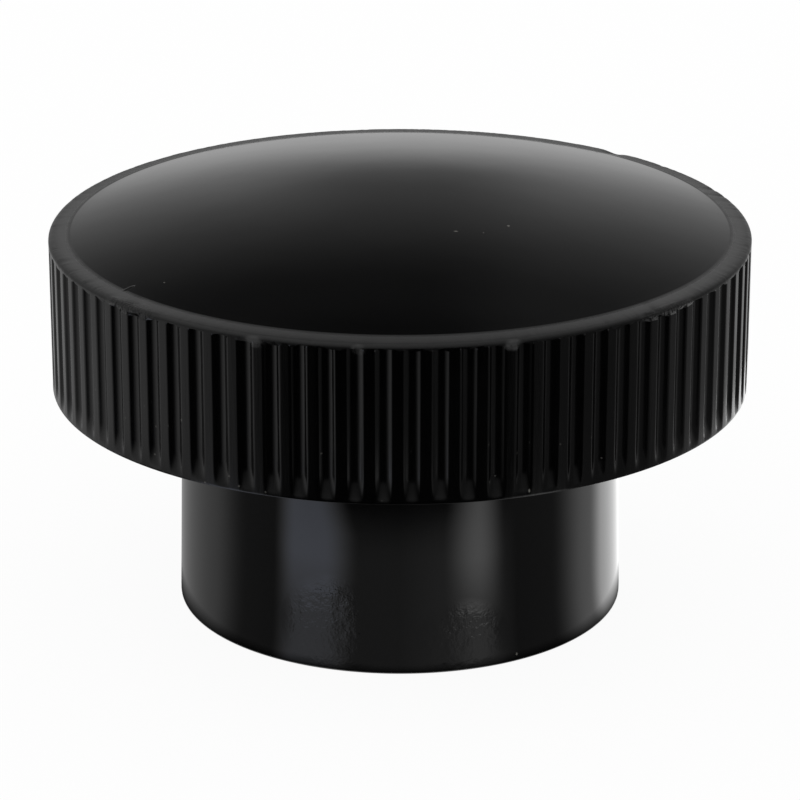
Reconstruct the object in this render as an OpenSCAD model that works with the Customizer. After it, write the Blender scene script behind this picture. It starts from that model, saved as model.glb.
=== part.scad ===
// Knurled knob: a domed disc with a fluted rim on a plain round hub, moulded in one
// piece round a brass bush that has a blind threaded hole.
// Millimetres, +Z up. The origin is the centre of the hub's end face, on which the knob stands.

/* [Disc] */
// Diameter of the disc, over the ridges of its rim
disc_d = 50; // [42:1:80]
// Thickness of the disc, from its underside to the flat ring round the dome
disc_h = 11.4; // [8:0.2:18]
// Width of the flat ring, from the foot of the dome to the rounded lip
ring_w = 1.1; // [0.5:0.1:2]
// Height of the dome above the flat ring
dome_h = 3.1; // [1:0.1:5]
// Radius of the rounded lip at the top of the rim
lip_r = 0.45; // [0.2:0.05:1]

/* [Flutes] */
// Number of flutes round the rim
flute_count = 83; // [60:1:96]
// Depth of a flute, from the ridges down to the middle of its hollow
flute_depth = 0.28; // [0.2:0.02:0.5]
// Width of the land along the top of each ridge
ridge_w = 0.8; // [0.4:0.05:0.9]
// Height of the slope on which a flute runs out at its foot
foot_slope_h = 1.4; // [0.4:0.1:3]
// Height of the plain band under the feet of the flutes
foot_band_h = 0.15; // [0.05:0.05:1]

/* [Hub] */
// Diameter of the hub at its end face
hub_d = 32.2; // [24:0.1:38]
// Height of the hub, from its end face to the disc
hub_h = 16.4; // [12:0.1:26]
// How much the hub draws in on each side from its end face to the disc
hub_taper = 0.35; // [0.05:0.05:1]
// Radius in the corner between the hub and the disc
hub_corner_r = 0.8; // [0.2:0.1:2]
// Radius on the edge of the hub's end face
hub_edge_r = 0.25; // [0.1:0.05:2]

/* [Bush] */
// Width of the bush across the flats of its hexagon, and diameter of its round collar
bush_w = 14; // [13:0.5:18]
// Height of the round collar at the open end of the bush
collar_h = 4; // [2:0.5:8]
// Diameter of the groove that locks the bush in the moulding
lock_d = 12; // [11.5:0.5:13]
// Height of that groove
lock_h = 3; // [1:0.5:5]
// Brass left behind the point of the drilled hole
bush_floor = 1.5; // [1:0.5:3]
// Outside diameter of the thread
thread_d = 10; // [6:1:10]
// Pitch of the thread
thread_pitch = 1.5; // [1:0.25:2]
// Depth of the hole, without its drill point
hole_depth = 18; // [12:0.5:20]
// Width of the countersink outside the thread
mouth_w = 0.3; // [0.1:0.1:0.6]

/* [Hidden] */

$fn = 168;
// How far cutting shapes reach past what they cut
over = 1;
// Half the angle of a drill's point
point_half_angle = 59;

disc_r = disc_d / 2;
ring_z = hub_h + disc_h;
crease_r = disc_r - lip_r - ring_w;
// Radius of the sphere through the foot and the top of the dome
dome_r = (pow(crease_r, 2) + pow(dome_h, 2)) / (2 * dome_h);

flute_pitch = PI * disc_d / flute_count;
flute_w = flute_pitch - ridge_w;
// Radius of the hollow that is as wide and as deep as a flute
flute_r = (pow(flute_w / 2, 2) + pow(flute_depth, 2)) / (2 * flute_depth);
foot_z = hub_h + foot_band_h;
// The flutes end square under the lip, where the two halves of the mould meet
head_z = ring_z - lip_r;
// How much further in than the hollows the slope at the foot of a flute is drawn
slope_reach = 1.4;

hub_r = hub_d / 2;
taper_angle = atan(hub_taper / hub_h);
// Centre of the rounding on the edge of the end face
edge_x = hub_side_r(hub_edge_r) - hub_edge_r / cos(taper_angle);
// Where the corner under the disc starts on the side of the hub, and its centre
corner_foot_z = hub_h - hub_corner_r * (1 + sin(taper_angle));
corner_x = hub_side_r(corner_foot_z) + hub_corner_r * cos(taper_angle);

core_r = (thread_d - thread_pitch) / 2;
point_h = core_r / tan(point_half_angle);
bush_h = hole_depth + point_h + bush_floor;
// The groove lies midway between the collar and the closed end of the bush
lock_z = (collar_h + bush_h - lock_h) / 2;
mouth_h = thread_d / 2 + mouth_w - core_r;

// Radius of the hub's side at height z
function hub_side_r(z) = hub_r - hub_taper * z / hub_h;

// Half of the disc's section, with its lip rounded
module disc_section() {
    translate([0, hub_h]) {
        square([disc_r, disc_h - lip_r]);
        square([disc_r - lip_r, disc_h]);
    }
    translate([disc_r - lip_r, ring_z - lip_r])
        circle(lip_r);
}

// Half of the dome's section, which starts at the crease inside the flat ring
module dome_section() {
    intersection() {
        translate([0, ring_z + dome_h - dome_r])
            circle(dome_r);
        translate([0, hub_h])
            square([crease_r, disc_h + dome_h]);
    }
}

// Half of the hub's section: its sides draw in a little on their way up into the disc
module hub_section() {
    root_z = hub_h + disc_h / 2;
    polygon([
        [0, 0],
        [edge_x, 0],
        [hub_side_r(hub_edge_r * (1 + sin(taper_angle))), hub_edge_r * (1 + sin(taper_angle))],
        [hub_side_r(root_z), root_z],
        [0, root_z]
    ]);
    translate([edge_x, hub_edge_r])
        circle(hub_edge_r);
    // Rounded corner under the disc
    difference() {
        polygon([
            [0, corner_foot_z],
            [hub_side_r(corner_foot_z), corner_foot_z],
            [corner_x, hub_h - hub_corner_r],
            [corner_x, root_z],
            [0, root_z]
        ]);
        translate([corner_x, hub_h - hub_corner_r])
            circle(hub_corner_r);
    }
}

// Section of one flute: a round hollow as wide as the gap between two ridges
module flute_section() {
    intersection() {
        translate([0, disc_r + flute_r - flute_depth])
            circle(flute_r);
        translate([-flute_w / 2, 0])
            square([flute_w, disc_r + over]);
    }
}

// What stays uncut at the foot of the flutes: the slope on which they run out
module flute_foot_section() {
    foot_run = flute_depth / foot_slope_h;
    polygon([
        [0, foot_z - over],
        [disc_r + over * foot_run, foot_z - over],
        [disc_r - slope_reach * flute_depth, foot_z + slope_reach * foot_slope_h],
        [0, foot_z + slope_reach * foot_slope_h]
    ]);
}

module flutes() {
    difference() {
        translate([0, 0, foot_z - over / 2])
            linear_extrude(head_z - foot_z + over / 2)
                for (i = [0 : flute_count - 1])
                    rotate(i * 360 / flute_count)
                        flute_section();
        rotate_extrude()
            flute_foot_section();
    }
}

// Outside of the bush: a round collar, then a hexagon with a locking groove turned in it
module bush_form() {
    cylinder(d = bush_w, h = collar_h);
    translate([0, 0, collar_h / 2])
        cylinder(d = lock_d, h = bush_h - collar_h);
    difference() {
        translate([0, 0, collar_h])
            cylinder(d = bush_w / cos(30), h = bush_h - collar_h, $fn = 6);
        translate([0, 0, lock_z])
            cylinder(d = bush_w * 2, h = lock_h);
    }
}

// Tapping hole with a drilled point and a countersunk mouth
module threaded_hole() {
    rotate_extrude()
        polygon([
            [0, -over],
            [core_r + mouth_h + over, -over],
            [core_r, mouth_h],
            [core_r, hole_depth],
            [0, hole_depth + point_h]
        ]);
}

// One moulding: disc, dome and hub, moulded round the bush
module knob_body() {
    color([0.03, 0.03, 0.032])
        difference() {
            rotate_extrude() {
                disc_section();
                dome_section();
                hub_section();
            }
            flutes();
            bush_form();
        }
}

// Brass bush, flush with the hub's end face
module threaded_bush() {
    color([0.78, 0.6, 0.3])
        difference() {
            bush_form();
            threaded_hole();
        }
}

knob_body();
threaded_bush();
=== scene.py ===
import math

import bpy
import numpy as np
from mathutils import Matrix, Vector


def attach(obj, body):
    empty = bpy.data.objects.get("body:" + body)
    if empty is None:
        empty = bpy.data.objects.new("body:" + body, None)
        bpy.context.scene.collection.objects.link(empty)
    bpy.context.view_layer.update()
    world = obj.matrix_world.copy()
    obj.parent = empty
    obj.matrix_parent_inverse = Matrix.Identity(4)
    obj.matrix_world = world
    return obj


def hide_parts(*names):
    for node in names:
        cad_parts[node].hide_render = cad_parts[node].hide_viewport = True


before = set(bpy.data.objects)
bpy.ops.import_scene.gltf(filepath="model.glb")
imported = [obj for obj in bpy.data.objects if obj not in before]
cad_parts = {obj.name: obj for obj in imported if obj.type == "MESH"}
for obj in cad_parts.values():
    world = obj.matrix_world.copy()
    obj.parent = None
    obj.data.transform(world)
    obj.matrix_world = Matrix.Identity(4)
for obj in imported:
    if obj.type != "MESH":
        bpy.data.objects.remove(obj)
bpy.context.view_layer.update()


# ---------------------------------------------------------------------------------------
# Knob moulding: domed disc with a fluted rim on a plain hub, one shot of glossy black
# phenolic, moulded round the bush. Its surface is a stack of rings round the axis, fine
# ones where the flutes are and coarse ones elsewhere, joined on the two flat faces.

MM = 0.001
DISC_R = 25.0
HUB_H = 16.4
DISC_H = 11.4
RING_Z = HUB_H + DISC_H
LIP_R = 0.45
RING_DROP = 0.13
CREASE_R = 23.45
CREASE_SOFT = 0.2
DOME_H = 3.1
DOME_R = (CREASE_R ** 2 + DOME_H ** 2) / (2 * DOME_H)
FLUTES = 83
FLUTE_DEPTH = 0.28
RIDGE_W = 0.8
FLUTE_W = 2 * math.pi * DISC_R / FLUTES - RIDGE_W
FLUTE_R = ((FLUTE_W / 2) ** 2 + FLUTE_DEPTH ** 2) / (2 * FLUTE_DEPTH)
FOOT_BAND_H = 0.15
FOOT_Z = HUB_H + FOOT_BAND_H
FOOT_SLOPE_H = 1.4
FOOT_BEND = 0.8
FOOT_SOFT = 0.06
HEAD_Z = RING_Z - LIP_R
RIDGE_ROUND = 0.28
FOOT_EDGE_R = 0.04
HUB_R = 16.1
HUB_NECK_R = 15.75
HUB_CORNER_R = 0.8
HUB_EDGE_R = 0.25
BUSH_W = 14.0
COLLAR_H = 4.0
LOCK_D = 12.0
LOCK_H = 3.0
THREAD_D = 10.0
THREAD_PITCH = 1.5
CORE_R = (THREAD_D - THREAD_PITCH) / 2
HOLE_DEPTH = 18.0
POINT_H = CORE_R / math.tan(math.radians(59))
BUSH_FLOOR = 1.5
BUSH_H = HOLE_DEPTH + POINT_H + BUSH_FLOOR
LOCK_Z = (COLLAR_H + BUSH_H - LOCK_H) / 2
COARSE_PER_FLUTE = 4
FINE_PER_FLUTE = 28


def arc(centre_r, centre_z, radius, start, end, steps):
    """Points of a circle's arc in the (radius, height) plane: the centre plus the radius
    times (cosine, sine) of an angle that goes evenly from start to end, in degrees."""
    a = np.radians(np.linspace(start, end, steps + 1))
    return np.stack([centre_r + radius * np.cos(a), centre_z + radius * np.sin(a)], 1)


def soft_min(a, b, width):
    """The smaller of a and b, with the corner between them rounded over the given width:
    half of (a + b - root of ((a - b) squared + width squared))."""
    return 0.5 * (a + b - np.sqrt((a - b) ** 2 + width ** 2))


def rings(radius, height, angle):
    """Vertices of rings round Z. Radius and height may differ along a ring, and give one
    row per ring: x = radius cos(angle), y = radius sin(angle), z = height, in metres."""
    radius, height, angle = np.broadcast_arrays(radius, height, angle)
    return np.stack([radius * np.cos(angle), radius * np.sin(angle), height], -1) * MM


def band_faces(first, row_count, columns):
    """Quads between neighbouring rings of one size. Rings run down the outside of a solid
    and anticlockwise seen from above, so that the faces point outwards."""
    row = first + columns * np.arange(row_count - 1)[:, None]
    col = np.arange(columns)
    nxt = (col + 1) % columns
    corners = [row + col, row + columns + col, row + columns + nxt, row + nxt]
    return np.stack(corners, -1).reshape(-1, 4)


def fringe_faces(coarse_first, coarse_count, fine_first, ratio, fine_below):
    """Flat faces that join a coarse ring to a fine one: each takes one step of the coarse
    ring and as many steps of the fine ring as the ratio says."""
    col = np.arange(coarse_count)
    nxt = (col + 1) % coarse_count
    fine = fine_first + (col[:, None] * ratio + np.arange(ratio + 1)) % (coarse_count * ratio)
    if fine_below:
        return np.column_stack([coarse_first + col, fine, coarse_first + nxt])
    return np.column_stack([fine[:, ::-1], coarse_first + col, coarse_first + nxt])


def pole_faces(pole, ring_first, columns, ring_below):
    """Triangles from one point on the axis to the ring next to it."""
    col = np.arange(columns)
    nxt = (col + 1) % columns
    point = np.full(columns, pole)
    if ring_below:
        return np.column_stack([point, ring_first + col, ring_first + nxt])
    return np.column_stack([point, ring_first + nxt, ring_first + col])


def piece_from(name, vertices, face_sets):
    """A smooth-shaded mesh object at the origin from vertex rows and sets of faces."""
    mesh = bpy.data.meshes.new(name)
    faces = [f for group in face_sets for f in group.tolist()]
    mesh.from_pydata(np.concatenate(vertices).tolist(), [], faces)
    mesh.polygons.foreach_set("use_smooth", np.ones(len(mesh.polygons), bool))
    mesh.update()
    piece = bpy.data.objects.new(name, mesh)
    bpy.context.scene.collection.objects.link(piece)
    return piece


pitch_angle = 2 * math.pi / FLUTES
# Across a flute, from its middle: the hollow ends where the ridge's rounding starts, at
# hollow_end, and the flat land starts at land_start
hollow_rise = FLUTE_R - FLUTE_DEPTH
land_start = math.sqrt((FLUTE_R + RIDGE_ROUND) ** 2 - (hollow_rise + RIDGE_ROUND) ** 2)
hollow_end = land_start * FLUTE_R / (FLUTE_R + RIDGE_ROUND)
hollow_turn = math.asin(hollow_end / FLUTE_R)
land_end = pitch_angle * DISC_R / 2
half_flute = np.concatenate([
    FLUTE_R * np.sin(np.linspace(0, hollow_turn, 6))[:-1],
    land_start - RIDGE_ROUND * np.sin(np.linspace(hollow_turn, 0, 6))[:-1],
    [land_start, land_start + 0.04, (land_start + land_end) / 2, land_end - 0.02],
])
half_flute = half_flute / DISC_R / pitch_angle
across = np.concatenate([[-0.5], -half_flute[:0:-1], half_flute])
flute_number = np.arange(FLUTES)
fine_angle = (math.pi / 2 + pitch_angle * (flute_number[:, None] + across)).ravel()
coarse_step = np.arange(FLUTES * COARSE_PER_FLUTE) / COARSE_PER_FLUTE - 0.5
coarse_angle = math.pi / 2 + pitch_angle * coarse_step
fine_count = len(fine_angle)
coarse_count = len(coarse_angle)

# No two flutes are quite alike in depth, nor in where they run out
draw = np.random.default_rng(83)
depth_of_flute = 1 + 0.05 * draw.standard_normal(FLUTES).clip(-2, 2)
foot_of_flute = FOOT_Z + 0.08 * np.abs(draw.standard_normal(FLUTES)).clip(0, 2)


def fluted_radius(height):
    """Radius of the rim for each height and fine column. Across a flute the inset is that
    of a round hollow between two rounded corners, each an arc, and zero on the land. Up a
    flute it is multiplied by a slope that starts at the flute's foot and ends at one."""
    place = np.abs(np.tile(across, FLUTES)) * pitch_angle * DISC_R
    hollow = np.sqrt(np.clip(FLUTE_R ** 2 - place ** 2, 0, None)) - hollow_rise
    short = np.clip(RIDGE_ROUND ** 2 - (land_start - place) ** 2, 0, None)
    corner = np.where(place < land_start, RIDGE_ROUND - np.sqrt(short), 0.0)
    inset = np.where(place < hollow_end, hollow, corner)
    inset = inset * np.repeat(depth_of_flute, len(across))
    slope = (height - np.repeat(foot_of_flute, len(across))) / FOOT_SLOPE_H
    return DISC_R - inset * np.clip(soft_min(slope, 1.0, FOOT_SOFT), 0, 1) ** FOOT_BEND


dome_sweep = math.degrees(math.asin(CREASE_R / DOME_R))
crease_half = CREASE_SOFT * math.tan(math.radians(dome_sweep / 2))
dome_edge = 90 - math.degrees(math.asin((CREASE_R - crease_half) / DOME_R))
top_rows = np.concatenate([
    arc(0, RING_Z + DOME_H - DOME_R, DOME_R, 90, dome_edge, 30)[1:],
    arc(CREASE_R + crease_half, RING_Z + CREASE_SOFT, CREASE_SOFT, 270 - dome_sweep, 270, 4)[1:],
    [[CREASE_R + crease_half + 0.02, RING_Z]],
])
lip_rows = np.concatenate([
    [[DISC_R - LIP_R + 0.02, RING_Z - RING_DROP]],
    arc(DISC_R - LIP_R, 0, LIP_R, 80, 0, 8) * [1, 1 - RING_DROP / LIP_R] + [0, HEAD_Z],
])
# The lip is a little uneven all round, and worn away in a few places: the bearing of each
# in degrees, nought towards the camera, then its half width there and its depth
LIP_WANDER = 0.012
WANDER_STEP = 7
WORN_SPOTS = ((139, 1.7, 0.18), (128, 0.8, 0.04), (112, 0.9, 0.06),
              (108, 0.5, 0.05), (-47, 1.2, 0.06), (44, 0.9, 0.05))
bearing = (np.degrees(fine_angle) + 90 + 180) % 360 - 180
wander = np.interp(np.arange(fine_count), np.arange(0, fine_count + WANDER_STEP, WANDER_STEP),
                   LIP_WANDER * draw.standard_normal(fine_count // WANDER_STEP + 1))
worn = np.abs(wander)
for middle, half_width, depth in WORN_SPOTS:
    worn = worn + depth * np.exp(-((bearing - middle) / half_width) ** 2)
lip_height = lip_rows[:, 1:] - worn * np.clip((lip_rows[:, 1:] - HEAD_Z) / 0.3, 0, 1)
# The flutes end square under the lip, with a ragged edge of flash where the mould parts
FLASH_LEAST = 0.02
FLASH_SPREAD = 0.04
FLASH_MOST = 0.22
flash = np.convolve(draw.standard_normal(fine_count), np.hanning(17), "same")
part_line = HEAD_Z - (FLASH_LEAST + FLASH_SPREAD * np.abs(flash)).clip(0, FLASH_MOST)
rim_height = np.concatenate([
    [HEAD_Z - 0.25, HEAD_Z - 1.0, HEAD_Z - 4.0, FOOT_Z + FOOT_SLOPE_H + 0.7],
    np.linspace(FOOT_Z + FOOT_SLOPE_H + 0.3, FOOT_Z, 11),
    [HUB_H + FOOT_EDGE_R],
])
rim_height = np.broadcast_to(rim_height[:, None], (len(rim_height), fine_count))
rim_height = np.concatenate([[part_line - 0.015], rim_height])
foot_rows = np.concatenate([
    arc(DISC_R - FOOT_EDGE_R, HUB_H + FOOT_EDGE_R, FOOT_EDGE_R, 0, -90, 3)[1:],
    [[DISC_R - FOOT_EDGE_R - 0.03, HUB_H]],
])
hub_rows = np.concatenate([
    [[HUB_NECK_R + HUB_CORNER_R + 0.1, HUB_H]],
    arc(HUB_NECK_R + HUB_CORNER_R, HUB_H - HUB_CORNER_R, HUB_CORNER_R, 90, 180, 8),
    [[HUB_R, HUB_EDGE_R + 0.05]],
    arc(HUB_R - HUB_EDGE_R, HUB_EDGE_R, HUB_EDGE_R, 0, -90, 6),
    [[HUB_R - HUB_EDGE_R - 0.05, 0], [BUSH_W / 2, 0], [BUSH_W / 2, COLLAR_H]],
])


def hexagon_radius(angle, across_flats):
    """Distance from the axis to a hexagon's side in each direction: half the width across
    the flats over the cosine of the angle from the nearest flat's middle."""
    turn = (angle + math.pi / 6) % (math.pi / 3) - math.pi / 6
    return across_flats / 2 / np.cos(turn)


pocket_hexagon = hexagon_radius(coarse_angle + math.pi / 6, BUSH_W)
pocket_radius = np.stack([
    pocket_hexagon, pocket_hexagon, np.full(coarse_count, LOCK_D / 2),
    np.full(coarse_count, LOCK_D / 2), pocket_hexagon, pocket_hexagon,
])
pocket_height = np.array([COLLAR_H, LOCK_Z, LOCK_Z, LOCK_Z + LOCK_H, LOCK_Z + LOCK_H, BUSH_H])

top_point = np.array([[0, 0, RING_Z + DOME_H]]) * MM
top = rings(top_rows[:, :1], top_rows[:, 1:], coarse_angle)
fluted = np.concatenate([
    rings(lip_rows[:, :1], lip_height, fine_angle),
    rings(DISC_R, part_line[None, :], fine_angle),
    rings(fluted_radius(rim_height), rim_height, fine_angle),
    rings(foot_rows[:, :1], foot_rows[:, 1:], fine_angle),
])
hub = rings(hub_rows[:, :1], hub_rows[:, 1:], coarse_angle)
pocket = rings(pocket_radius, pocket_height[:, None], coarse_angle)
pocket_point = np.array([[0, 0, BUSH_H]]) * MM
lower = np.concatenate([hub, pocket])

top_first = 1
fine_first = top_first + len(top) * coarse_count
lower_first = fine_first + len(fluted) * fine_count
last_point = lower_first + len(lower) * coarse_count
ratio = FINE_PER_FLUTE // COARSE_PER_FLUTE
moulding = piece_from("knob_moulding", [
    top_point, top.reshape(-1, 3), fluted.reshape(-1, 3), lower.reshape(-1, 3), pocket_point,
], [
    pole_faces(0, top_first, coarse_count, True),
    band_faces(top_first, len(top), coarse_count),
    fringe_faces(fine_first - coarse_count, coarse_count, fine_first, ratio, True),
    band_faces(fine_first, len(fluted), fine_count),
    fringe_faces(lower_first, coarse_count, lower_first - fine_count, ratio, False),
    band_faces(lower_first, len(lower), coarse_count),
    pole_faces(last_point, last_point - coarse_count, coarse_count, False),
])
moulding.data.set_sharp_from_angle(angle=math.radians(50))


def add_node(tree, kind, **inputs):
    """A node of the given kind in a tree, with plain values set on its named inputs."""
    made = tree.nodes.new(kind)
    for key, value in inputs.items():
        made.inputs[key.replace("_", " ")].default_value = value
    return made


def join(tree, value, socket):
    """Gives a socket a plain value, or links another node's output to it."""
    if isinstance(value, bpy.types.NodeSocket):
        tree.links.new(value, socket)
    else:
        socket.default_value = value


def math_node(tree, operation, first, second=0.0):
    """One step of arithmetic. Each side is a number or another node's output."""
    step = tree.nodes.new("ShaderNodeMath")
    step.operation = operation
    join(tree, first, step.inputs[0])
    join(tree, second, step.inputs[1])
    return step.outputs[0]


def times(tree, first, second):
    """The product of two numbers or outputs."""
    return math_node(tree, "MULTIPLY", first, second)


def plus(tree, first, second):
    """The sum of two numbers or outputs."""
    return math_node(tree, "ADD", first, second)


def larger(tree, first, second):
    """The larger of two numbers or outputs."""
    return math_node(tree, "MAXIMUM", first, second)


def map_node(tree, value, low, high, to_low, to_high, smooth=False):
    """Carries a value from one range to another, held at both ends."""
    span = add_node(tree, "ShaderNodeMapRange", From_Min=low, From_Max=high,
                    To_Min=to_low, To_Max=to_high)
    span.interpolation_type = "SMOOTHSTEP" if smooth else "LINEAR"
    tree.links.new(value, span.inputs["Value"])
    return span.outputs[0]


def mix_node(tree, kind, factor, first, second):
    """Goes from the first value or colour to the second as the factor goes from nought to
    one: (1 - factor) times the first, plus factor times the second."""
    blend = tree.nodes.new("ShaderNodeMix")
    blend.data_type = kind
    for key, value in (("Factor", factor), ("A", first), ("B", second)):
        join(tree, value, blend.inputs[key])
    return blend.outputs["Result"]


def noise_node(tree, vector, scale, detail, roughness):
    """Noise on object coordinates: the scale is in cycles per metre."""
    grain = add_node(tree, "ShaderNodeTexNoise", Scale=scale, Detail=detail, Roughness=roughness)
    tree.links.new(vector, grain.inputs["Vector"])
    return grain.outputs["Fac"]


def blemish(tree, vector, spot, turn, size):
    """Mask of a small mark: one in the middle of an ellipsoid of the given half sizes in
    millimetres, turned about Z in degrees, and nought at its surface, by the distance in
    its own frame."""
    inner = tree.nodes.new("ShaderNodeMapping")
    inner.vector_type = "TEXTURE"
    inner.inputs["Location"].default_value = [value * MM for value in spot]
    inner.inputs["Rotation"].default_value = (0, 0, math.radians(turn))
    inner.inputs["Scale"].default_value = [value * MM for value in size]
    tree.links.new(vector, inner.inputs["Vector"])
    span = tree.nodes.new("ShaderNodeVectorMath")
    span.operation = "LENGTH"
    tree.links.new(inner.outputs[0], span.inputs[0])
    return map_node(tree, span.outputs["Value"], 0.5, 1.0, 1, 0, True)


# Colours: the phenolic between two near blacks, the lip's grey, partly rub wear and partly
# painted sheen, and dust
BLACK = (0.0002, 0.0002, 0.00025, 1)
SOFT_BLACK = (0.0006, 0.0006, 0.0007, 1)
# Grey of the lip's top and scuffs: rub wear, with a painted sheen on the lip
GREY_WEAR_AND_SHEEN = (0.055, 0.055, 0.055, 1)
DUST = (0.09, 0.088, 0.08, 1)
# Roughness: the polish from best to worst, the hub's share of it, what the rim has more,
# and the lip where it is rubbed
POLISH = (0.07, 0.12)
HUB_POLISH = 0.55
RIM_MORE = 0.08
RUB_ROUGH = 0.40
# How far the rubbed band reaches below and above the heads of the flutes, and its waver
RUB_LOW = 0.28
RUB_HIGH = 0.1
RUB_WAVER = 1.1
# The rim begins between these radii
RIM_FROM = 23.5
RIM_TO = 23.9
# Heights in the bump, as shares of its depth: orange peel, moulding streaks down the rim,
# torn flash, finger marks on the hub and a nick in the lip
BUMP_DEPTH = 0.00002
PEEL = 0.02
STREAK = 0.5
TORN = 14.0
MOTTLE = 6.0
NICK = 5.0
# Light scuffs at the flutes' heads, each with its half width along the rim
SCUFFS = (((-9.5, -23.1, HEAD_Z - 0.15), 1.0), ((-2.6, -24.8, HEAD_Z - 0.1), 0.6),
          ((7.6, -23.8, HEAD_Z - 0.1), 0.8))
SCUFF_STRENGTH = 0.5
# Specks of dust, each with its half width
SPECKS = (((7.55, -7.7, RING_Z + 2.46), 0.13), ((-15.9, -14.35, RING_Z + 0.5), 0.07),
          ((8.75, -23.4, HUB_H + 0.4), 0.08), ((5.8, -9.2, RING_Z + 2.45), 0.06),
          ((8.3, -13.8, 0.6), 0.1), ((-14.6, -20.3, HUB_H + 4.2), 0.12))

phenolic = bpy.data.materials.new("glossy black phenolic")
phenolic.use_nodes = True
tree = phenolic.node_tree
shader = tree.nodes["Principled BSDF"]
shader.inputs["IOR"].default_value = 1.55
place = tree.nodes.new("ShaderNodeTexCoord").outputs["Object"]
apart = tree.nodes.new("ShaderNodeSeparateXYZ")
tree.links.new(place, apart.inputs[0])
x, y, up = apart.outputs["X"], apart.outputs["Y"], apart.outputs["Z"]
from_axis = math_node(tree, "SQRT", plus(tree, times(tree, x, x), times(tree, y, y)))
outer = map_node(tree, from_axis, RIM_FROM * MM, RIM_TO * MM, 0, 1, True)
wave = noise_node(tree, place, 160, 2, 0.4)
peel = noise_node(tree, place, 2200, 2, 0.5)
smear = noise_node(tree, place, 90, 4, 0.6)
wear = noise_node(tree, place, 1200, 3, 0.6)

# The lip is rubbed dull, with an uneven lower edge, and there is one nick in it
uneven = times(tree, math_node(tree, "SUBTRACT", wear, 0.5), RUB_WAVER * MM)
above = map_node(tree, plus(tree, up, uneven),
                 (HEAD_Z - RUB_LOW) * MM, (HEAD_Z + RUB_HIGH) * MM, 0, 1, True)
rubbed = times(tree, outer, above)
nick = blemish(tree, place, (-18.35, -14.3, RING_Z + 0.1), 32, (0.6, 0.2, 0.6))
hub_share = map_node(tree, up, HUB_H * MM, (HUB_H + 0.1) * MM, HUB_POLISH, 1)
rough = times(tree, map_node(tree, smear, 0.35, 0.7, *POLISH), hub_share)
rough = plus(tree, rough, times(tree, outer, RIM_MORE))
rough = larger(tree, rough, times(tree, rubbed, RUB_ROUGH))
tree.links.new(larger(tree, rough, nick), shader.inputs["Roughness"])

# The top of the lip is painted grey, partly rub wear and partly a painted sheen, less so at
# the front, and scuffed at a few flutes' heads
lip_wear_and_sheen = times(tree, outer,
              map_node(tree, up, (HEAD_Z + 0.2) * MM, (RING_Z - 0.05) * MM, 0, 1, True))
lip_wear_and_sheen = times(tree, lip_wear_and_sheen, map_node(tree, y, -24.5 * MM, -16 * MM, 0.45, 1))
for spot, width in SCUFFS:
    scuff = times(tree, blemish(tree, place, spot, 0, (width, 0.7, 0.5)),
                  map_node(tree, wear, 0.35, 0.6, 0, SCUFF_STRENGTH))
    lip_wear_and_sheen = larger(tree, lip_wear_and_sheen, scuff)
colour = mix_node(tree, "RGBA", smear, BLACK, SOFT_BLACK)
colour = mix_node(tree, "RGBA", lip_wear_and_sheen, colour, GREY_WEAR_AND_SHEEN)

# Dust: a larger fleck on the dome, fine grit low on the rim, and single specks
dust = blemish(tree, place, (3.9, -9.2, RING_Z + 2.55), 0, (0.2, 0.12, 0.15))
cells = add_node(tree, "ShaderNodeTexVoronoi", Scale=900)
tree.links.new(place, cells.inputs["Vector"])
grit = times(tree, map_node(tree, cells.outputs["Distance"], 0.03, 0.08, 0.5, 0), outer)
grit = times(tree, grit, map_node(tree, up, (HUB_H + 6) * MM, (HUB_H + 2) * MM, 0, 1))
dust = larger(tree, dust, grit)
for spot, size in SPECKS:
    dust = larger(tree, dust, blemish(tree, place, spot, 0, (size, size * 1.4, 0.15)))
colour = mix_node(tree, "RGBA", dust, colour, DUST)
tree.links.new(colour, shader.inputs["Base Color"])

# Torn flash under the lip on both sides, and finger marks on the front of the hub
torn = larger(tree,
              blemish(tree, place, (-17.9, -17.2, HEAD_Z + 0.12), -46, (3.0, 0.9, 0.55)),
              blemish(tree, place, (18.0, -17.2, HEAD_Z), 46, (3.2, 0.7, 0.4)))
torn = times(tree, times(tree, torn, noise_node(tree, place, 3000, 3, 0.6)), TORN)
handled = larger(tree, blemish(tree, place, (-4.8, -15.3, 3.2), 0, (4.2, 3, 4.2)),
                 blemish(tree, place, (4.6, -15.4, 2.4), 0, (3.6, 3, 3.2)))
mottle = times(tree, times(tree, handled, MOTTLE), noise_node(tree, place, 900, 3, 0.65))
stretched = add_node(tree, "ShaderNodeMapping", Scale=(1, 1, 0.06))
tree.links.new(place, stretched.inputs["Vector"])
streak = times(tree, noise_node(tree, stretched.outputs[0], 3200, 2, 0.6), outer)
height = plus(tree, wave, times(tree, peel, PEEL))
height = plus(tree, height, times(tree, streak, STREAK))
height = plus(tree, height, times(tree, nick, NICK))
height = plus(tree, height, plus(tree, torn, mottle))
bump = add_node(tree, "ShaderNodeBump", Strength=1.0, Distance=BUMP_DEPTH)
tree.links.new(height, bump.inputs["Height"])
tree.links.new(bump.outputs["Normal"], shader.inputs["Normal"])
moulding.data.materials.append(phenolic)
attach(moulding, "root")
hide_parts("knob_body")


# ---------------------------------------------------------------------------------------
# Bush: a turned brass insert with a round collar, a hexagon that keeps it from turning in
# the moulding and a groove that keeps it from pulling out. Its blind hole is tapped.

MOUTH_W = 0.3
FACE_EDGE = 0.08
BUSH_COLUMNS = 96
# The thread stops this far short of the drilled hole's full depth
THREAD_SHORT = 2.5

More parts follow.
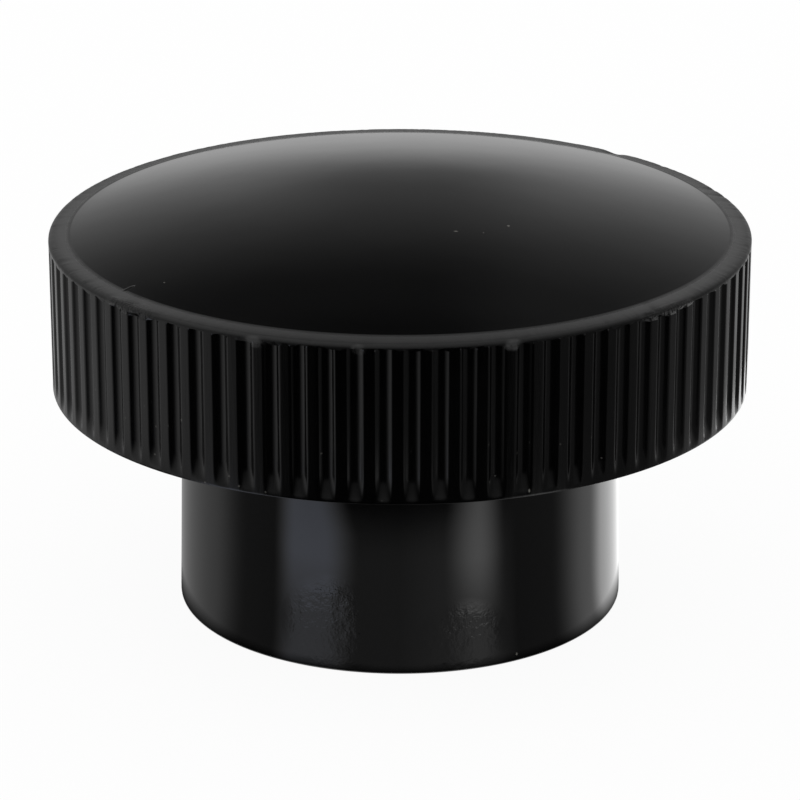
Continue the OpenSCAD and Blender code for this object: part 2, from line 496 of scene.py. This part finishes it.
bush_angle = 2 * math.pi * np.arange(BUSH_COLUMNS) / BUSH_COLUMNS + math.pi / 2
bush_hexagon = hexagon_radius(bush_angle + math.pi / 6, BUSH_W)
round_to = np.ones(BUSH_COLUMNS)
mouth_h = THREAD_D / 2 + MOUTH_W - CORE_R
bush_outside = np.stack([
    bush_hexagon, bush_hexagon, round_to * LOCK_D / 2, round_to * LOCK_D / 2,
    bush_hexagon, bush_hexagon,
    round_to * BUSH_W / 2, round_to * BUSH_W / 2, round_to * (BUSH_W / 2 - FACE_EDGE),
    round_to * (CORE_R + mouth_h),
])
bush_outside_z = np.array([
    BUSH_H, LOCK_Z + LOCK_H, LOCK_Z + LOCK_H, LOCK_Z, LOCK_Z, COLLAR_H, COLLAR_H, FACE_EDGE, 0, 0,
])


def thread_radius(height, angle):
    """Radius of the tapped hole: the core's, plus the depth of a sixty degree thread whose
    place along the pitch is the height less one pitch for each turn. The crests and roots
    are flat, the thread fades in at the mouth's cone and stops short of the drilled end."""
    along = (height[:, None] / THREAD_PITCH - angle / (2 * math.pi)) % 1.0
    tooth = np.clip(1.5 - np.abs(along - 0.5) * 4, 0, 1)
    depth = (THREAD_D / 2 - CORE_R) * tooth
    run_out = np.clip((HOLE_DEPTH - THREAD_SHORT - height) / THREAD_PITCH, 0, 1)[:, None]
    cone = np.clip(CORE_R + mouth_h - height, CORE_R, None)[:, None]
    return np.maximum(CORE_R + depth * run_out, cone)


hole_height = np.linspace(0, HOLE_DEPTH, 145)[1:]
hole_radius = thread_radius(hole_height, bush_angle)
bush_top = np.array([[0, 0, BUSH_H]]) * MM
drill_tip = np.array([[0, 0, HOLE_DEPTH + POINT_H]]) * MM
bush_rings = np.concatenate([
    rings(bush_outside, bush_outside_z[:, None], bush_angle),
    rings(hole_radius, hole_height[:, None], bush_angle),
])
bush_last = 1 + len(bush_rings) * BUSH_COLUMNS
bush = piece_from("brass_bush", [bush_top, bush_rings.reshape(-1, 3), drill_tip], [
    pole_faces(0, 1, BUSH_COLUMNS, True),
    band_faces(1, len(bush_rings), BUSH_COLUMNS),
    pole_faces(bush_last, bush_last - BUSH_COLUMNS, BUSH_COLUMNS, False),
])
bush.data.set_sharp_from_angle(angle=math.radians(28))

BRIGHT_BRASS = (0.80, 0.60, 0.28, 1)
DULL_BRASS = (0.62, 0.42, 0.18, 1)
brass = bpy.data.materials.new("turned brass")
brass.use_nodes = True
tree = brass.node_tree
shader = tree.nodes["Principled BSDF"]
shader.inputs["Metallic"].default_value = 1.0
place = tree.nodes.new("ShaderNodeTexCoord").outputs["Object"]
stain = noise_node(tree, place, 350, 4, 0.6)
colour = mix_node(tree, "RGBA", map_node(tree, stain, 0.4, 0.7, 0, 1), BRIGHT_BRASS, DULL_BRASS)
tree.links.new(colour, shader.inputs["Base Color"])
tree.links.new(map_node(tree, stain, 0.3, 0.7, 0.22, 0.38), shader.inputs["Roughness"])
bush.data.materials.append(brass)
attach(bush, "root")
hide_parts("threaded_bush")


# ---------------------------------------------------------------------------------------
# Stage: a wide pale floor that the camera sees as white with the knob's faint shadow, and
# a glowing ring round the hub, a painted reflection of the lit floor that only shows in
# the knob's gloss. Both lie a hair's breadth under the hub's end face, so that no two
# surfaces share a plane.

FLOOR_R = 3.0
FLOOR_SINK = 0.00002
FLOOR_STEPS = 64
FLOOR_COLOUR = (0.9, 0.9, 0.9, 1)
WHITE = (1, 1, 1, 1)
# How much of the floor's white is the camera's own, and not light that falls on it
OWN_WHITE = 0.94
PATCH_R = 0.061
PATCH_IN_R = 0.0162
PATCH_SINK = 0.00001
floor_turn = np.linspace(0, 2 * math.pi, FLOOR_STEPS + 1)[:-1]
floor_rim = [FLOOR_R * np.cos(floor_turn), FLOOR_R * np.sin(floor_turn),
             np.full(FLOOR_STEPS, -FLOOR_SINK)]
floor_mesh = bpy.data.meshes.new("floor")
floor_mesh.from_pydata(np.stack(floor_rim, 1).tolist(), [], [list(range(FLOOR_STEPS))])
floor = bpy.data.objects.new("floor", floor_mesh)
bpy.context.scene.collection.objects.link(floor)
floor.visible_glossy = False
pale = bpy.data.materials.new("pale floor")
pale.use_nodes = True
tree = pale.node_tree
tree.nodes.clear()
matt = add_node(tree, "ShaderNodeBsdfDiffuse", Color=FLOOR_COLOUR)
white = add_node(tree, "ShaderNodeEmission", Color=WHITE, Strength=1.0)
path = tree.nodes.new("ShaderNodeLightPath")
both = tree.nodes.new("ShaderNodeMixShader")
out = tree.nodes.new("ShaderNodeOutputMaterial")
tree.links.new(times(tree, path.outputs["Is Camera Ray"], OWN_WHITE), both.inputs["Fac"])
tree.links.new(matt.outputs[0], both.inputs[1])
tree.links.new(white.outputs[0], both.inputs[2])
# From below the floor is clear, so that the knob's end face can be seen
clear = tree.nodes.new("ShaderNodeBsdfTransparent")
sided = tree.nodes.new("ShaderNodeMixShader")
facing = tree.nodes.new("ShaderNodeNewGeometry")
tree.links.new(facing.outputs["Backfacing"], sided.inputs["Fac"])
tree.links.new(both.outputs[0], sided.inputs[1])
tree.links.new(clear.outputs[0], sided.inputs[2])
tree.links.new(sided.outputs[0], out.inputs["Surface"])
floor_mesh.materials.append(pale)

patch_mesh = bpy.data.meshes.new("painted_reflection_ring")
patch_radius = np.array([[PATCH_R], [PATCH_IN_R]])
patch_rims = [patch_radius * np.cos(floor_turn), patch_radius * np.sin(floor_turn),
              np.full((2, FLOOR_STEPS), -PATCH_SINK)]
step = np.arange(FLOOR_STEPS)
after = (step + 1) % FLOOR_STEPS
patch_mesh.from_pydata(
    np.stack(patch_rims, -1).reshape(-1, 3).tolist(), [],
    np.column_stack([step, after, FLOOR_STEPS + after, FLOOR_STEPS + step]).tolist())
patch = bpy.data.objects.new("painted_reflection_ring", patch_mesh)
bpy.context.scene.collection.objects.link(patch)
patch.visible_camera = False
patch.visible_diffuse = False
patch.visible_shadow = False
patch.visible_transmission = False
# The ring's glow is a painted reflection: it lights nothing and stands in for the lit floor that
# the hub's side mirrors
shown = bpy.data.materials.new("painted floor reflection")
shown.use_nodes = True
tree = shown.node_tree
tree.nodes.clear()
DEGREES = 180 / math.pi
# Bearings are in degrees round the hub, nought at the front and positive to the right, and
# reach is the distance from the axis in metres. Light that the hub's side mirrors starts
# from that side, so a direction lands nearer the front the closer it lands. The spread, one
# less half the hub's radius over the reach, turns the place back into the direction.
HALF_HUB_R = 0.008
spot = tree.nodes.new("ShaderNodeSeparateXYZ")
tree.links.new(tree.nodes.new("ShaderNodeTexCoord").outputs["Object"], spot.inputs[0])
x, y = spot.outputs["X"], spot.outputs["Y"]
reach = math_node(tree, "SQRT", plus(tree, times(tree, x, x), times(tree, y, y)))
round_hub = times(tree, math_node(tree, "ARCTAN2", x, times(tree, y, -1.0)), DEGREES)
spread = math_node(tree, "SUBTRACT", 1.0, math_node(tree, "DIVIDE", HALF_HUB_R, reach))
bearing = math_node(tree, "DIVIDE", round_hub, spread)
off = math_node(tree, "ABSOLUTE", bearing)
# A bright window on each side of the front, which leans with the distance from the hub
drift = map_node(tree, reach, 0.038, 0.051, 0, 14)
left = times(tree, map_node(tree, bearing, -70, -56, 0, 0.8, True),
             map_node(tree, plus(tree, bearing, drift), -40, -20, 1, 0, True))
left = times(tree, left, map_node(tree, reach, 0.025, 0.034, 0.5, 1))
right_bearing = plus(tree, bearing, times(tree, drift, -0.4))
right = times(tree, map_node(tree, right_bearing, 22, 42, 0, 1.0, True),
              map_node(tree, bearing, 42, 58, 1, 0, True))
right = times(tree, right, map_node(tree, reach, 0.025, 0.034, 0.25, 1))
windows = times(tree, plus(tree, left, right), map_node(tree, reach, 0.057, 0.061, 1, 0.2))
# Brighter from the sides round to the back, the more so on the right until right behind
sides = plus(tree, map_node(tree, off, 50, 64, 0, 0.1),
             map_node(tree, off, 88, 118, 0, 0.27, True))
beside = plus(tree, map_node(tree, bearing, 88, 118, 0, 0.28, True),
              map_node(tree, bearing, 124, 142, 0, 1.0, True))
not_behind = map_node(tree, math_node(tree, "ABSOLUTE", round_hub), 150, 178, 1, 0, True)
sides = plus(tree, sides, times(tree, beside, not_behind))
# A faint glow at the front
front = times(tree, map_node(tree, bearing, 0, 20, 0.17, 0.25),
              map_node(tree, reach, 0.034, 0.046, 1, 0, True))
front = times(tree, front, map_node(tree, off, 50, 64, 1, 0))
# It all fades out close to the hub's foot, and the left window is a little cool
total = plus(tree, windows, plus(tree, sides, front))
total = times(tree, total, map_node(tree, reach, 0.0163, 0.0178, 0.1, 1))
COOL = (0.86, 0.93, 1.14, 1)
glow = tree.nodes.new("ShaderNodeEmission")
tree.links.new(mix_node(tree, "RGBA", left, WHITE, COOL), glow.inputs["Color"])
tree.links.new(total, glow.inputs["Strength"])
out = tree.nodes.new("ShaderNodeOutputMaterial")
tree.links.new(glow.outputs[0], out.inputs["Surface"])
patch_mesh.materials.append(shown)


# ---------------------------------------------------------------------------------------
# Light: a plain white room. In the gloss it shows brightest low down behind the knob and
# overhead, dim towards the camera, and brighter on the left than on the right.

world = bpy.data.worlds.new("studio")
bpy.context.scene.world = world
world.use_nodes = True
tree = world.node_tree
tree.nodes.clear()
# The rise above the horizon and the turn from the front are both in degrees
way = tree.nodes.new("ShaderNodeSeparateXYZ")
tree.links.new(tree.nodes.new("ShaderNodeTexCoord").outputs["Generated"], way.inputs[0])
x, y, z = way.outputs["X"], way.outputs["Y"], way.outputs["Z"]
rise = times(tree, math_node(tree, "ARCSINE", z), DEGREES)
turn = times(tree, math_node(tree, "ARCTAN2", x, times(tree, y, -1.0)), DEGREES)
off = math_node(tree, "ABSOLUTE", turn)
# Behind the knob: bright at the horizon and fading upwards, with a darker gap right behind,
# a faint wall that is brighter on the right, a bright ceiling, and less below the horizon
back = math_node(tree, "POWER", map_node(tree, rise, 2, 40, 1, 0), 1.45)
gap = times(tree, map_node(tree, off, 172, 179, 0, 0.47, True),
            map_node(tree, rise, 5, 15, 0, 1, True))
gap = times(tree, gap, map_node(tree, rise, 18, 32, 1, 0))
back = times(tree, times(tree, back, 0.555), math_node(tree, "SUBTRACT", 1.0, gap))
wall = plus(tree, 0.045, map_node(tree, x, 0.02, 0.15, 0, 0.045, True))
wall = times(tree, wall, map_node(tree, rise, 44, 52, 1, 0.4))
back = plus(tree, back, plus(tree, wall, map_node(tree, rise, 50, 70, 0, 0.45, True)))
back = plus(tree, back, times(tree, map_node(tree, rise, -12, -3, 1, 0), -0.12))
# In front and to the sides: dark ahead, and brighter with the turn to either side
low_left = plus(tree, map_node(tree, off, 25, 40, 0.001, 0.045),
                map_node(tree, off, 40, 68, 0, 0.27))
low_left = plus(tree, low_left, map_node(tree, off, 68, 80, 0, 0.08))
low_right = plus(tree, map_node(tree, off, 32, 48, 0.001, 0.085),
                 map_node(tree, off, 84, 110, 0, 0.14))
low_right = plus(tree, low_right, map_node(tree, off, 130, 142, 0, 0.35))
side = mix_node(tree, "FLOAT", map_node(tree, x, -0.02, 0.02, 0, 1), low_left, low_right)
level_side = times(tree, side, map_node(tree, rise, -12, 8, 1, 0.5))
# Higher up: brighter with the rise and to the left, and from the horizon up a little
# light straight ahead
lean = math_node(tree, "SUBTRACT", 1.0, times(tree, x, 0.3))
upper = times(tree, map_node(tree, rise, -6, 60, 0, 0.35), lean)
ahead = times(tree, map_node(tree, rise, -12, -3, 0, 0.11),
              map_node(tree, off, 30, 60, 1, 0))
fore = plus(tree, level_side, plus(tree, upper, ahead))
# The back takes over from the front with the turn, and later above the horizon. A little
# light comes from right below.
behind = times(tree, map_node(tree, off, 130, 158, 0, 1, True),
               map_node(tree, rise, -14, -4, 1, 0.3))
behind = larger(tree, behind, map_node(tree, off, 148, 160, 0, 1, True))
gloss = mix_node(tree, "FLOAT", behind, fore, back)
gloss = plus(tree, gloss, map_node(tree, rise, -75, -50, 0.5, 0))
path = tree.nodes.new("ShaderNodeLightPath")
sky = add_node(tree, "ShaderNodeBackground", Color=WHITE)
level = mix_node(tree, "FLOAT", path.outputs["Is Glossy Ray"], 1.0, gloss)
tree.links.new(level, sky.inputs["Strength"])
out = tree.nodes.new("ShaderNodeOutputWorld")
tree.links.new(sky.outputs[0], out.inputs["Surface"])


# ---------------------------------------------------------------------------------------
# Camera: a long lens, looking down on the knob from in front.

camera = bpy.data.objects.new("camera", bpy.data.cameras.new("camera"))
bpy.context.scene.collection.objects.link(camera)
camera.data.sensor_width = 36
camera.data.lens = 175
camera.data.clip_end = 20
target = Vector((0, 0, (HUB_H - 1.8875) * MM))
distance = 281.8 * MM
swing, lift = math.radians(0.34), math.radians(20.43)
offset = Vector((math.sin(swing) * math.cos(lift), -math.cos(swing) * math.cos(lift),
                 math.sin(lift)))
camera.location = target + offset * distance
camera.rotation_euler = (-offset).to_track_quat("-Z", "Y").to_euler()
bpy.context.scene.camera = camera
bpy.context.scene.view_settings.view_transform = "Standard"
